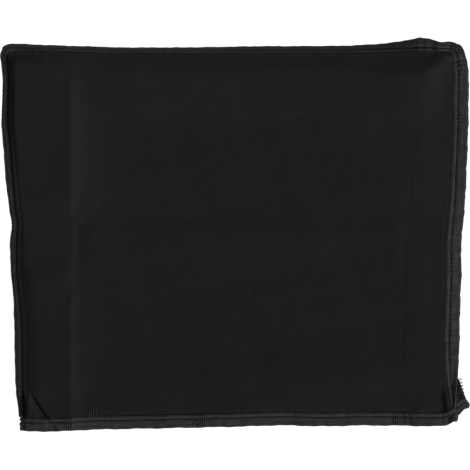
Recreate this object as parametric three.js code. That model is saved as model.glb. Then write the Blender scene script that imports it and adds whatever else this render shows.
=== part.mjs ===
// A fitted cloth cover, empty and collapsed, lying on its back panel with its front panel up.
// Lengths are millimetres. +X is the cover's right, +Y its top seam, -Y its open mouth, +Z up.
import * as THREE from "three";

const { smoothstep, lerp, clamp, degToRad } = THREE.MathUtils;

const CLOTH = 1.2; // woven cloth of the panels and the side strip
const TAPE_WIDTH = 13.6; // binding tape, once it is folded over an edge
const SEAM_TAPE = 2.7; // tape with the two cloth edges of a seam inside
const HEM_TAPE = 2; // tape with the one cloth edge of the mouth inside
const GAP = 0.35; // between sewn neighbours
const SEAM_PLY = CLOTH + 0.3; // from one cloth of a seam to the other, centre to centre
const HEM_PLY = HEM_TAPE + GAP; // from one layer of the hem to the next, centre to centre

const WOVEN = { color: 0x1d1d1f, roughness: 0.92 };
const TAPE = { color: 0x29292a, roughness: 0.85 };

// The side strip is tucked in between the panels as far as these lines.
const TUCK_LEFT = -167;
const TUCK_TOP = 126;
const TUCK_CORNER = 8; // radius of the tuck's own corners
const LOWER_LEAF = 3.35; // height of the tuck's lower leaf
const UPPER_LEAF = [0, 0.2, 0.6, 1]; // section points of the upper leaf, as shares of its width
const SLACK_REACH = 10; // distance from the seam at which the upper leaf has sunk clear of the front
const NEAR_BACK_SEAM = 0.8; // share of the lower leaf's width that lies level

const CORNER_LEFT = 6; // radius of the front panel's top left corner
const CORNER_RIGHT = 13;
const BACK_CORNER = 9;

const MIDDLE = 9.5; // height of the front panel's face between the tucks

// Plan outline of the front seam: it wanders, because the cloth is limp.
const LEFT_SEAM = [
  { y: -184, x: -211 },
  { y: -164, x: -213 },
  { y: -140, x: -215.2 },
  { y: -90, x: -216 },
  { y: -42, x: -217.4 },
  { y: -20, x: -220.2 },
  { y: -4, x: -220.2 },
  { y: 10, x: -217.4 },
  { y: 26, x: -220.6 },
  { y: 52, x: -224 },
  { y: 82, x: -226.4 },
  { y: 115, x: -228.2 },
  { y: 155, x: -227.2 },
  { y: 190, x: -228.6 },
];
const RIGHT_SEAM = [
  { y: -180, x: 217.2 },
  { y: -160, x: 216.6 },
  { y: -143, x: 214.6 },
  { y: -125, x: 211 },
  { y: -100, x: 209.7 },
  { y: -60, x: 210.6 },
  { y: -34, x: 211.8 },
  { y: -12, x: 211.4 },
  { y: 12, x: 213.2 },
  { y: 36, x: 215.4 },
  { y: 72, x: 217 },
  { y: 115, x: 218.4 },
  { y: 190, x: 219 },
];
const TOP_SEAM = [
  { x: -232, y: 183.4 },
  { x: -212, y: 182.6 },
  { x: -196, y: 181.8 },
  { x: -165, y: 180.6 },
  { x: -120, y: 180.2 },
  { x: -30, y: 180.3 },
  { x: 15, y: 181 },
  { x: 55, y: 180.4 },
  { x: 105, y: 180.8 },
  { x: 140, y: 181.5 },
  { x: 168, y: 182.5 },
  { x: 188, y: 183.3 },
  { x: 205, y: 181.6 },
  { x: 222, y: 179 },
];
// Outer edge of the hem, along the front of the mouth and along its back.
const FRONT_MOUTH = [
  { x: -214, y: -193.8 },
  { x: -204, y: -195 },
  { x: -176, y: -195 },
  { x: -152, y: -193.8 },
  { x: -60, y: -192 },
  { x: 10, y: -190.4 },
  { x: 45, y: -189.2 },
  { x: 90, y: -190.1 },
  { x: 125, y: -189.2 },
  { x: 165, y: -189.3 },
  { x: 203, y: -189.8 },
  { x: 213, y: -188.2 },
  { x: 221, y: -185 },
];
const BACK_MOUTH = [
  { x: -205, y: -186 },
  { x: 0, y: -185.6 },
  { x: 185, y: -187 },
  { x: 206, y: -185.8 },
  { x: 223, y: -178.6 },
  { x: 236, y: -172 },
];
// The back seam lies hidden under the front, except at the lower right, where it pokes out as a flap.
const BACK_RIGHT_SEAM = [
  { y: -159, x: 225.2 },
  { y: -141, x: 219.9 },
  { y: -122, x: 211.4 },
  { y: -100, x: 207 },
  { y: -20, x: 208 },
  { y: 80, x: 213 },
  { y: 190, x: 215 },
];
const BACK_INSET = { left: 13.2, top: 10 };
// Line of the right tuck's inner fold.
const RIGHT_TUCK = [
  { y: -180, x: 168.5 },
  { y: -128, x: 169 },
  { y: -2, x: 171.5 },
  { y: 28, x: 176 },
  { y: 175, x: 181 },
];

// Height of the front panel's face at its seam, and how far in from the seam that is felt.
const LEFT_HEIGHT = [
  { y: -180, height: 13.5, fade: 12 },
  { y: 180, height: 13.6, fade: 13 },
];
const TOP_HEIGHT = [
  { x: -228, height: 13.6, fade: 14 },
  { x: 90, height: 13.3, fade: 16 },
  { x: 140, height: 12.9, fade: 18 },
  { x: 172, height: 11, fade: 22 },
  { x: 192, height: 8.8, fade: 26 },
  { x: 215, height: 7.8, fade: 28 },
];
const RIGHT_HEIGHT = [
  { y: -180, height: 13.5, fade: 13 },
  { y: -158, height: 13.5, fade: 14 },
  { y: -140, height: 11.9, fade: 20 },
  { y: -122, height: 8.6, fade: 28 },
  { y: -105, height: 7.3, fade: 33 },
  { y: 100, height: 7.2, fade: 34 },
  { y: 175, height: 7.8, fade: 28 },
];
// Rise of the front over each tuck, next to its seam and over its inner fold, and the fold's radius.
const TUCKS = {
  left: { crown: 4.8, rise: 2.8, radius: 3.1 },
  top: { crown: 4.4, rise: 2.3, radius: 2.8 },
  right: { crown: 1.8, rise: 1.7, radius: 2.4 },
};
const CROWN_REACH = 50;
const MEETING = 4; // how sharply the rises of two tucks meet at a corner
const STEP_START = 7; // the front starts to step down this far outside the tuck's inner fold
const TOP_STEP = 24;
const RIGHT_STEP = 20;
// Width of the left tuck's step, which fans out and pinches together along its length.
const LEFT_STEP = [
  { y: -165, width: 17 },
  { y: -48, width: 16 },
  { y: -24, width: 10 },
  { y: 12, width: 10 },
  { y: 40, width: 26 },
  { y: 68, width: 34 },
  { y: 95, width: 24 },
  { y: 150, width: 20 },
];
// Soft ridges, and valleys where height is negative, along straight lines. left and right are the widths
// of the slopes on either hand of someone walking from the start to the end.
const CREASES = [
  { fromX: -150, fromY: 3, toX: 166, toY: 4, height: 1, left: 9, right: 28 }, // packing crease
  { fromX: -207, fromY: -42, toX: -168, toY: -43, height: 0.7, left: 8, right: 14 },
  { fromX: 184, fromY: -15, toX: 212, toY: -15, height: -0.7, left: 9, right: 7 },
  { fromX: -112, fromY: -137, toX: 142, toY: -136, height: 0.9, left: 24, right: 24 }, // swell above the hem
  { fromX: 182, fromY: -138, toX: 207, toY: -174, height: -1.2, left: 9, right: 11 }, // lower right corner
  { fromX: -206, fromY: -160, toX: -203, toY: -190, height: 1.3, left: 7, right: 5 }, // lower left ear
  { fromX: -202, fromY: -157, toX: -186, toY: -188, height: -1.4, left: 6, right: 5 },
];
const CREASE_END = 8; // a crease dies away from this far before its end to as far after

// How the front seam's tape hangs, row by row up the left, over the top and down the right.
const TAPE_LEFT = [
  { y: -184, tilt: 88, width: 7 },
  { y: -150, tilt: 88, width: 13.6 },
  { y: 150, tilt: 86, width: 13.6 },
  { y: 182, tilt: 78, width: 13.6 },
];
const TAPE_TOP = [
  { x: -226, tilt: 78, width: 13.6 },
  { x: -205, tilt: 72, width: 13.6 },
  { x: 105, tilt: 71, width: 13.6 },
  { x: 140, tilt: 62, width: 13.6 },
  { x: 168, tilt: 45, width: 13.6 },
  { x: 188, tilt: 20, width: 13.6 },
  { x: 205, tilt: 10, width: 12 },
  { x: 220, tilt: 2, width: 13.6 },
];
const TAPE_RIGHT = [
  { y: -180, tilt: 84, width: 6.5 },
  { y: -160, tilt: 80, width: 7.5 },
  { y: -142, tilt: 52, width: 11 },
  { y: -124, tilt: 12, width: 13.6 },
  { y: -105, tilt: 0, width: 13.6 },
  { y: 182, tilt: 0, width: 13.6 },
];
const TAPE_FLAT = 0.8; // flat start of the tape, beside the stitching
const TAPE_BEND = 3.2; // length of tape in the bend
const TAPE_BEND_STEPS = 3;
const ROLLED_TAPE = 3.6; // width of the back seam's tape where it is rolled up
const MOUTH_TAPER = [-178, -148]; // it opens out between these heights on the left
const FLAP_TAPER = [-136, -96]; // and between these on the right

const HEM_TURN = 1.2; // how far the hem runs on past a seam before it turns back
const FLAP_SLANT = 5; // how far the hem of the flap leans outwards over its width
const FLAP_START = [195, 225];

// Stations along the seams: sides, corners and top.
const SIDE_STATIONS = 17;
const CORNER_STATIONS = 10;
const TOP_STATIONS = 22;
const CORNER_BUNCHING = 1.8;
const BACK_HEM_STEPS = 9;
const BACK_HEM_BUNCHING = 1.6;
const SEAM_END = 172; // the seams' ends and corners are placed from their lines at this height
const SEAM_STEP = 9;
const SEAM_SAMPLES = 1200;

// A smooth curve through one column of a table. It never swings past the values on either hand.
function curveThrough(rows, at, value) {
  const chord = (i) => {
    const start = clamp(i, 0, rows.length - 2);
    return (rows[start + 1][value] - rows[start][value]) / (rows[start + 1][at] - rows[start][at]);
  };
  const slope = (i) => {
    const before = chord(i - 1);
    const after = chord(i);
    return before * after > 0 ? (2 * before * after) / (before + after) : 0;
  };
  return (place) => {
    const p = clamp(place, rows[0][at], rows.at(-1)[at]);
    const i = Math.min(rows.findLastIndex((row) => row[at] <= p), rows.length - 2);
    const run = rows[i + 1][at] - rows[i][at];
    const u = (p - rows[i][at]) / run;
    const leave = slope(i) * run * u * (1 - u) * (1 - u);
    const arrive = slope(i + 1) * run * u * u * (u - 1);
    return lerp(rows[i][value], rows[i + 1][value], u * u * (3 - 2 * u)) + leave + arrive;
  };
}

const leftSeam = curveThrough(LEFT_SEAM, "y", "x");
const rightSeam = curveThrough(RIGHT_SEAM, "y", "x");
const topSeam = curveThrough(TOP_SEAM, "x", "y");
const frontMouth = curveThrough(FRONT_MOUTH, "x", "y");
const backMouth = curveThrough(BACK_MOUTH, "x", "y");
const rightTuck = curveThrough(RIGHT_TUCK, "y", "x");
const leftStep = curveThrough(LEFT_STEP, "y", "width");

const EDGES = [
  { rows: LEFT_HEIGHT, at: "y", inFrom: (x, y) => x - leftSeam(y) },
  { rows: TOP_HEIGHT, at: "x", inFrom: (x, y) => topSeam(x) - y },
  { rows: RIGHT_HEIGHT, at: "y", inFrom: (x, y) => rightSeam(y) - x },
].map(({ rows, at, inFrom }) => ({
  at,
  inFrom,
  height: curveThrough(rows, at, "height"),
  fade: curveThrough(rows, at, "fade"),
}));

// Rise of the front over one tuck, from the distances in from the seam and past the tuck's inner fold.
function tuckRise({ crown, rise }, inFromSeam, pastFold, step) {
  const margin = lerp(crown, rise, smoothstep(inFromSeam, 0, CROWN_REACH));
  return margin * (1 - smoothstep(pastFold, -STEP_START, step));
}

// Height that one crease adds at a place.
function creaseRise(crease, x, y) {
  const along = new THREE.Vector2(crease.toX - crease.fromX, crease.toY - crease.fromY);
  const length = along.length();
  along.divideScalar(length);
  const place = new THREE.Vector2(x - crease.fromX, y - crease.fromY);
  const run = place.dot(along);
  const across = along.cross(place);
  const width = across > 0 ? crease.left : crease.right;
  const start = smoothstep(run, -CREASE_END, CREASE_END);
  const end = 1 - smoothstep(run, length - CREASE_END, length + CREASE_END);
  return crease.height * Math.exp(-((across / width) ** 2)) * start * end;
}

// Height of the front panel's upper face over a place in plan.
function frontTop(x, y) {
  const [left, top, right] = EDGES.map(({ inFrom }) => inFrom(x, y));
  const rises = [
    tuckRise(TUCKS.left, left, x - TUCK_LEFT, leftStep(y)),
    tuckRise(TUCKS.top, top, TUCK_TOP - y, TOP_STEP),
    tuckRise(TUCKS.right, right, rightTuck(y) - x, RIGHT_STEP),
  ];
  const rise = rises.reduce((sum, r) => sum + r ** MEETING, 0) ** (1 / MEETING);
  const creases = CREASES.reduce((sum, crease) => sum + creaseRise(crease, x, y), 0);
  let free = 1;
  let held = 0;
  let heldHeight = 0;
  EDGES.forEach(({ at, inFrom, height, fade }) => {
    const place = at === "x" ? x : y;
    const share = 1 - smoothstep(inFrom(x, y), 0, fade(place));
    free *= 1 - share;
    held += share;
    heldHeight += share * height(place);
  });
  const edge = held > 0 ? heldHeight / held : 0;
  return lerp(edge, MIDDLE + rise + creases, free);
}

const frontMiddle = (x, y) => frontTop(x, y) - CLOTH / 2;

// A closed solid of a sheet, from the grid of its middle surface. In a ring the last row meets the first.
function thickSheet(grid, thickness, isRing = false) {
  const rows = grid.length;
  const columns = grid[0].length;
  const wrap = (i) => (isRing ? (i + rows) % rows : clamp(i, 0, rows - 1));
  const point = (i, j) => grid[wrap(i)][clamp(j, 0, columns - 1)];
  const position = [];
  for (const side of [1, -1]) {
    for (let i = 0; i < rows; i++) {
      for (let j = 0; j < columns; j++) {
        const along = point(i + 1, j).clone().sub(point(i - 1, j));
        const across = point(i, j + 1).clone().sub(point(i, j - 1));
        const normal = along.cross(across).normalize();
        position.push(...point(i, j).clone().addScaledVector(normal, (side * thickness) / 2));
      }
    }
  }
  const index = [];
  const face = (a, b, c, d) => index.push(a, b, c, a, c, d);
  const upper = (i, j) => wrap(i) * columns + j;
  const lower = (i, j) => upper(i, j) + rows * columns;
  const lastRow = rows - 1;
  const lastColumn = columns - 1;
  for (let i = 0; i < (isRing ? rows : lastRow); i++) {
    for (let j = 0; j < lastColumn; j++) {
      face(upper(i, j), upper(i + 1, j), upper(i + 1, j + 1), upper(i, j + 1));
      face(lower(i, j), lower(i, j + 1), lower(i + 1, j + 1), lower(i + 1, j));
    }
    face(upper(i, 0), lower(i, 0), lower(i + 1, 0), upper(i + 1, 0));
    face(upper(i, lastColumn), upper(i + 1, lastColumn), lower(i + 1, lastColumn), lower(i, lastColumn));
  }
  if (!isRing) {
    for (let j = 0; j < lastColumn; j++) {
      face(upper(0, j), upper(0, j + 1), lower(0, j + 1), lower(0, j));
      face(upper(lastRow, j), lower(lastRow, j), lower(lastRow, j + 1), upper(lastRow, j + 1));
    }
  }
  const geometry = new THREE.BufferGeometry();
  geometry.setAttribute("position", new THREE.Float32BufferAttribute(position, 3));
  geometry.setIndex(index);
  return geometry;
}

// The line of a seam in plan, up the left, over the top and down the right, cut into five zones:
// side, corner, top, corner, side. A corner zone is as long as its tuck is deep.
function seamLine({ left, top, right, cornerLeft, cornerRight, mouth }) {
  const points = [];
  const add = (x, y) => points.push(new THREE.Vector3(x, y, 0));
  const corner = (x, y, radius, start) => {
    for (let turned = 0; turned <= 90; turned += 22.5) {
      const angle = degToRad(start - turned);
      add(x + radius * Math.cos(angle), y + radius * Math.sin(angle));
    }
  };
  const leftX = left(SEAM_END) + cornerLeft;
  const leftY = top(leftX) - cornerLeft;
  const rightX = right(SEAM_END) - cornerRight;
  const rightY = top(rightX) - cornerRight;
  const leftStart = mouth(left(-SEAM_END)) + TAPE_WIDTH + GAP;
  const rightEnd = mouth(right(-SEAM_END)) + TAPE_WIDTH + GAP;
  for (let y = leftStart; y < leftY - SEAM_STEP / 2; y += SEAM_STEP) {
    add(left(y), y);
  }
  corner(leftX, leftY, cornerLeft, 180);
  for (let x = leftX + SEAM_STEP; x < rightX - SEAM_STEP / 2; x += SEAM_STEP) {
    add(x, top(x));
  }
  corner(rightX, rightY, cornerRight, 90);
  for (let y = rightY - SEAM_STEP; y > rightEnd + SEAM_STEP / 2; y -= SEAM_STEP) {
    add(right(y), y);
  }
  add(right(rightEnd), rightEnd);
  const curve = new THREE.CatmullRomCurve3(points, false, "centripetal");
  curve.arcLengthDivisions = SEAM_SAMPLES;
  const spaced = curve.getSpacedPoints(SEAM_SAMPLES);
  const cornerY = TUCK_TOP - TUCK_CORNER;
  const isTop = (p) => p.y > cornerY;
  const ends = [
    0,
    spaced.findIndex(isTop),
    spaced.findIndex((p) => isTop(p) && p.x > TUCK_LEFT + TUCK_CORNER),
    spaced.findIndex((p) => isTop(p) && p.x > rightTuck(TUCK_TOP) - TUCK_CORNER),
    spaced.findLastIndex(isTop),
    SEAM_SAMPLES,
  ];
  return ({ zone, share }) => {
    const u = lerp(ends[zone], ends[zone + 1], share) / SEAM_SAMPLES;
    const tangent = curve.getTangentAt(u);
    const isMouth = u === 0 || u === 1;
    const out = isMouth ? new THREE.Vector3(Math.sign(-tangent.y)) : new THREE.Vector3(-tangent.y, tangent.x);
    return { at: curve.getPointAt(u), out };
  };
}

const frontSeam = seamLine({
  left: leftSeam,
  top: topSeam,
  right: rightSeam,
  cornerLeft: CORNER_LEFT,
  cornerRight: CORNER_RIGHT,
  mouth: frontMouth,
});
const backSeam = seamLine({
  left: (y) => leftSeam(y) + BACK_INSET.left,
  top: (x) => topSeam(x) - BACK_INSET.top,
  right: curveThrough(BACK_RIGHT_SEAM, "y", "x"),
  cornerLeft: BACK_CORNER,
  cornerRight: BACK_CORNER,
  mouth: backMouth,
});

// Every piece has its stations at the same shares of the seams' zones, bunched together at the corners.
const stations = [];
[SIDE_STATIONS, CORNER_STATIONS, TOP_STATIONS, CORNER_STATIONS, SIDE_STATIONS].forEach((count, zone) => {
  const isCorner = zone % 2 === 1;
  for (let i = zone ? 1 : 0; i <= count; i++) {
    const even = (2 * i) / count - 1;
    const bunched = Math.sign(even) * Math.abs(even) ** CORNER_BUNCHING;
    stations.push({ zone, share: (1 + (isCorner ? bunched : even)) / 2 });
  }
});
const firstStation = stations[0];
const lastStation = stations.at(-1);
const LEFT_CORNER_STATION = SIDE_STATIONS + CORNER_STATIONS / 2;
const RIGHT_CORNER_STATION = LEFT_CORNER_STATION + CORNER_STATIONS + TOP_STATIONS;

// The front panel is a patch stretched between its three seam edges and its mouth edge.
function frontPanelGrid() {
  const edge = stations.map((station) => frontSeam(station).at);
  const left = edge.slice(0, LEFT_CORNER_STATION + 1);
  const top = edge.slice(LEFT_CORNER_STATION, RIGHT_CORNER_STATION + 1);
  const right = edge.slice(RIGHT_CORNER_STATION).reverse();
  const shares = (points, axis) =>
    points.map((p) => (p[axis] - points[0][axis]) / (points.at(-1)[axis] - points[0][axis]));
  const across = shares(top, "x");
  const upLeft = shares(left, "y");
  const upRight = shares(right, "y");
  const mouth = across.map((s) => {
    const place = left[0].clone().lerp(right[0], s);
    const sag = frontMouth(place.x) - lerp(frontMouth(left[0].x), frontMouth(right[0].x), s);
    return place.setY(place.y + sag);
  });
  return across.map((s, j) =>
    upLeft.map((_, i) => {
      const t = lerp(upLeft[i], upRight[i], s);
      const place = mouth[j].clone().lerp(top[j], t);
      place.add(left[i].clone().lerp(right[i], s));
      place.sub(mouth[0].clone().lerp(mouth.at(-1), s).lerp(top[0].clone().lerp(top.at(-1), s), t));
      return place.setZ(frontMiddle(place.x, place.y));
    }),
  );
}

// The inner fold of the tucked side strip, beside a station of the seams.
function tuckFold({ zone, share }) {
  const cornerY = TUCK_TOP - TUCK_CORNER;
  const leftX = TUCK_LEFT + TUCK_CORNER;
  const rightX = rightTuck(TUCK_TOP) - TUCK_CORNER;
  const turn = (x, start) => {
    const angle = degToRad(start - 90 * share);
    return [x + TUCK_CORNER * Math.cos(angle), cornerY + TUCK_CORNER * Math.sin(angle)];
  };
  const mouthY = backSeam(zone ? lastStation : firstStation).at.y;
  const sideY = zone ? lerp(cornerY, mouthY, share) : lerp(mouthY, cornerY, share);
  const places = [
    () => [TUCK_LEFT, sideY],
    () => turn(leftX, 180),
    () => [lerp(leftX, rightX, share), TUCK_TOP],
    () => turn(rightX, 90),
    () => [rightTuck(sideY), sideY],
  ];
  return new THREE.Vector3(...places[zone](), 0);
}

function foldRadius({ zone, share }) {
  const { left, top, right } = TUCKS;
  const ends = [[left, left], [left, top], [top, top], [top, right], [right, right]][zone];
  return lerp(ends[0].radius, ends[1].radius, share);
}

// One section across the tuck: in from the front seam under the front, round the fold, out to the back seam.
function tuckSection(station, { ply, slack, slimmer, backLeaf, overhang }) {
  const front = frontSeam(station).at;
  const back = backSeam(station).at;
  const radius = foldRadius(station) - slimmer;
  const inward = tuckFold(station).sub(front);
  const flat = inward.length() - radius;
  inward.normalize();
  const ceiling = (x, y) => Math.min(frontMiddle(x, y), frontMiddle(x, y - overhang)) - ply;
  const foldTop = LOWER_LEAF + 2 * radius;
  const seamTop = ceiling(front.x, front.y);
  const section = UPPER_LEAF.map((share) => {
    const place = front.clone().addScaledVector(inward, share * flat);
    const roof = ceiling(place.x, place.y) - slack * smoothstep(share * flat, 0, SLACK_REACH);
    return place.setZ(Math.min(lerp(seamTop, foldTop, smoothstep(share, 0, 1)), roof));
  });
  for (const angle of [45, 0, -45].map(degToRad)) {
    const place = front.clone().addScaledVector(inward, flat + radius * Math.cos(angle));
    section.push(place.setZ(LOWER_LEAF + radius + radius * Math.sin(angle)));
  }
  const under = front.clone().addScaledVector(inward, flat).setZ(LOWER_LEAF);
  const nearBack = under.clone().lerp(back, NEAR_BACK_SEAM).setZ(LOWER_LEAF);
  section.push(under, nearBack, back.clone().setZ(backLeaf));
  return section;
}

const STRIP = { ply: SEAM_PLY, slack: 1, slimmer: 0, backLeaf: SEAM_TAPE - CLOTH / 2, overhang: 0 };
const HEM = { ply: HEM_PLY, slack: 0.3, slimmer: 0.3, backLeaf: LOWER_LEAF, overhang: TAPE_WIDTH };

// Tilt and width of the front seam's tape at a station. In a corner it follows the nearer side's table.
const hangs = [TAPE_LEFT, TAPE_TOP, TAPE_RIGHT].map((rows, side) => {
  const axis = side === 1 ? "x" : "y";
  return {
    tilt: (at) => degToRad(curveThrough(rows, axis, "tilt")(at[axis])),
    width: (at) => curveThrough(rows, axis, "width")(at[axis]),
  };
});

function frontTapeSection(station, i) {
  const { at, out } = frontSeam(station);
  const side = Number(i > LEFT_CORNER_STATION) + Number(i > RIGHT_CORNER_STATION);
  const tilt = hangs[side].tilt(at);
  const width = hangs[side].width(at);
  const place = at.clone().addScaledVector(out, GAP);
  place.z = frontTop(at.x, at.y) - SEAM_TAPE / 2;
  const section = [place.clone()];
  const go = (length, angle) => {
    place.addScaledVector(out, length * Math.cos(angle));
    place.z -= length * Math.sin(angle);
    section.push(place.clone());
  };
  go(TAPE_FLAT, 0);
  for (let step = 0; step < TAPE_BEND_STEPS; step++) {
    go(TAPE_BEND / TAPE_BEND_STEPS, (tilt * (step + 0.5)) / TAPE_BEND_STEPS);
  }
  go(width - TAPE_FLAT - TAPE_BEND, tilt);
  return section;
}

// The back seam's tape lies flat. It is rolled up narrow next to the hem and along the flap.
function backTapeSection(station) {
  const { at, out } = backSeam(station);
  const widen = station.zone === 4 ? smoothstep(at.y, ...FLAP_TAPER) : smoothstep(at.y, ...MOUTH_TAPER);
  const width = lerp(ROLLED_TAPE, TAPE_WIDTH, widen);
  return [GAP, width].map((reach) => at.clone().addScaledVector(out, reach).setZ(SEAM_TAPE / 2));
}

// The back panel's edge at the mouth, from right to left.
function backMouthEdge() {
  const from = backSeam(lastStation).at;
  const to = backSeam(firstStation).at;
  const edge = [from];
  for (let i = 1; i < BACK_HEM_STEPS; i++) {
    const x = lerp(from.x, to.x, (i / BACK_HEM_STEPS) ** BACK_HEM_BUNCHING);
    edge.push(new THREE.Vector3(x, backMouth(x) + TAPE_WIDTH + GAP, 0));
  }
  edge.push(to);
  return edge;
}

// The back panel lies flat on the surface.
function backPanelGeometry() {
  const outline = stations.map((station) => backSeam(station).at);
  outline.push(...backMouthEdge().slice(1, -1));
  const shape = new THREE.Shape(outline.map(({ x, y }) => new THREE.Vector2(x, y)));
  return new THREE.ExtrudeGeometry(shape, { depth: CLOTH, bevelEnabled: false });
}

// Rounded turn of the hem just outside a seam, from its upper layer to its lower one.
function hemTurn(upper, side) {
  const radius = HEM_PLY / 2;
  return [90, 45, 0, -45, -90].map(degToRad).map((angle) => {
    const reach = side * (HEM_TURN + radius * Math.cos(angle));
    return upper.clone().add(new THREE.Vector3(reach, 0, radius * (Math.sin(angle) - 1)));
  });
}

// The hem's tape is one closed ring round the mouth: front, right tuck, back, left tuck.
function hemGrid(frontGrid) {
  const front = frontGrid.map((column) => column[0]);
  const rightTuckEdge = tuckSection(lastStation, HEM);
  const leftTuckEdge = tuckSection(firstStation, HEM).reverse();
  const ring = [
    ...front,
    ...hemTurn(front.at(-1), 1),
    ...rightTuckEdge,
    ...hemTurn(rightTuckEdge.at(-1), 1),
    ...backMouthEdge().map((p) => p.clone().setZ(HEM_TAPE / 2)),
    ...hemTurn(leftTuckEdge[0], -1).reverse(),
    ...leftTuckEdge,
    ...hemTurn(front[0], -1).reverse(),
  ];
  return ring.map((p) => {
    const lean = p.z < LOWER_LEAF + CLOTH ? smoothstep(p.x, ...FLAP_START) : 0;
    const inner = p.clone();
    inner.y -= GAP * (1 + lean);
    const outer = inner.clone();
    outer.x += FLAP_SLANT * lean;
    outer.y -= TAPE_WIDTH;
    if (front.includes(p)) {
      outer.z = frontMiddle(outer.x, outer.y);
    }
    return [outer, inner];
  });
}

const cover = new THREE.Group();
cover.name = "deep_fryer_cover";

function addPiece(name, geometry, { color, roughness }) {
  const piece = new THREE.Mesh(geometry, new THREE.MeshStandardMaterial({ color, roughness, metalness: 0 }));
  piece.name = name;
  cover.add(piece);
}

const frontGrid = frontPanelGrid();
const stripGrid = stations.map((station) => tuckSection(station, STRIP));
addPiece("front_panel", thickSheet(frontGrid, CLOTH), WOVEN);
addPiece("back_panel", backPanelGeometry(), WOVEN);
addPiece("side_strip", thickSheet(stripGrid, CLOTH), WOVEN);
addPiece("front_seam_tape", thickSheet(stations.map(frontTapeSection), SEAM_TAPE), TAPE);
addPiece("back_seam_tape", thickSheet(stations.map(backTapeSection), SEAM_TAPE), TAPE);
addPiece("hem_tape", thickSheet(hemGrid(frontGrid), HEM_TAPE, true), TAPE);

// The origin is under the middle of the whole cover, on the surface.
const bounds = new THREE.Box3().setFromObject(cover);
const centre = bounds.getCenter(new THREE.Vector3());
cover.position.set(-centre.x, -centre.y, -bounds.min.z);

export default cover;
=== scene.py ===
import math

import bmesh
import bpy
import numpy as np
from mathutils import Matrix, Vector


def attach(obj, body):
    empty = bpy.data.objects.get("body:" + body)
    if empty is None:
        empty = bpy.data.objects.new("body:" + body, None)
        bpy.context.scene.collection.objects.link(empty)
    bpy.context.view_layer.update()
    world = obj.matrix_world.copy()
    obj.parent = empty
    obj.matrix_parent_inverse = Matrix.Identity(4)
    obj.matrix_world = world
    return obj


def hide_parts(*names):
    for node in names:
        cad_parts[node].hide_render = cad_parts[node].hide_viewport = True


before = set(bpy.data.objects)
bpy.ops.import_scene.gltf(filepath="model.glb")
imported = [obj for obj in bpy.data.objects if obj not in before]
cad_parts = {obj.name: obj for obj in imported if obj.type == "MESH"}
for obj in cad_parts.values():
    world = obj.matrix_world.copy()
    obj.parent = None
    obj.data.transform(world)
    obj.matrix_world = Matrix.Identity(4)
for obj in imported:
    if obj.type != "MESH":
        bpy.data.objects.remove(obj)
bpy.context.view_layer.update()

# A fitted cloth cover, empty and collapsed, lying on its back panel. Sizes are millimetres on a drawing
# of the cover: +X is its right, +Y its top seam, -Y its open mouth, +Z up. SHIFT moves the drawing to
# the middle of the part's box.
MM = 0.001
SHIFT = (0.186, -1.041, 0.0)

CLOTH = 1.2  # thickness of the cloth
TAPE = 13.6  # width of the binding tape, once it is folded over an edge
SEAM_TAPE = 2.7  # thickness of the tape on the seams, with the plies inside it
HEM_TAPE = 2.0  # thickness of the tape on the hem
GAP = 0.35  # between pieces that lie edge to edge
LAP = 0.9  # how far a panel runs in under its tape
ALLOWANCE = 9.0  # how far the side strip runs in under its tapes
STRIP_WIDTH = 120.0

MIDDLE = 9.5  # height of the front in its middle, without its slopes and creases
TUCK_LEFT = -167.0  # x of the inner fold of the tucked strip on the left
TUCK_TOP = 126.0  # y of that fold at the top
TUCK_CORNER = 8.0  # radius of its corners
TUCK_DEPTH = 60.0  # how far in from its seams the tuck lifts the front
LOWER_LEAF = 3.35  # height of the middle of the strip's lower leaf
FLAP_SAG = 4.8  # how far the strip's edge hangs lower beside the lower right corner

SEAM_CORNER = 6.0  # radius of the front seam's top corners
BACK_CORNER = 9.0  # radius of the back seam's top corners
CORNER_Y = 172.0  # where the top corners' place is read off the side seams
MOUTH_Y = -172.0  # where the lower ends' place is read off them
BACK_INSET = (13.2, 10.0)  # how far the back seam lies inside the front seam, on the left and at the top

# Outline of the front seam.
LEFT_SEAM = [  # y, x
    (-184, -211.2), (-170, -212.5), (-155, -214), (-110, -214.4), (-95, -214.6), (-80, -215.6),
    (-65, -216.7), (-50, -218.3), (-35, -219.8), (-5, -219.9), (10, -218.7), (25, -220.8), (40, -222.1),
    (55, -223.5), (70, -224.7), (85, -225.8), (100, -227.4), (115, -228.8), (135, -228.3), (155, -227.8),
    (172, -229), (190, -229.2),
]
RIGHT_SEAM = [  # y, x
    (-178, 215.8), (-165, 214), (-150, 211.6), (-135, 209.2), (-125, 208.3), (-100, 207.7), (-60, 208.6),
    (-34, 209.6), (-12, 209.2), (12, 211.2), (36, 213.2), (72, 214.9), (115, 216.4), (190, 217),
]
TOP_SEAM = [  # x, y
    (-232, 182.9), (-212, 182.4), (-180, 182.2), (-160, 181.4), (-140, 181), (-120, 180.1), (-80, 180),
    (-30, 180.1), (55, 180.2), (105, 180.5), (140, 181.1), (168, 182), (188, 183), (222, 184),
]
# Outer edge of the hem.
FRONT_MOUTH = [  # x, y
    (-214, -194.8), (-204, -195.9), (-176, -195.8), (-152, -194.5), (-60, -192.6), (10, -191),
    (45, -189.9), (90, -190.8), (125, -190), (165, -190.2), (200, -190.8), (208, -190.1),
    (211.5, -188.7), (214, -187), (215.4, -185.2), (216.4, -182.8), (221, -180),
]
BACK_MOUTH = [  # x, y
    (-205, -186), (0, -185.6), (185, -187), (206, -184.5), (216, -181.5), (223, -178.6), (236, -173.5),
]
# Outline of the back seam on the right.
BACK_RIGHT_SEAM = [  # y, x
    (-165, 227.7), (-155, 223.6), (-145, 219.8), (-135, 215), (-122, 209.5), (-100, 206), (-20, 207),
    (80, 212), (190, 214),
]
# Inner fold of the tucked strip on the right.
RIGHT_TUCK = [(-180, 168.5), (-128, 169), (-2, 171.5), (28, 176), (175, 181)]  # y, x

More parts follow.
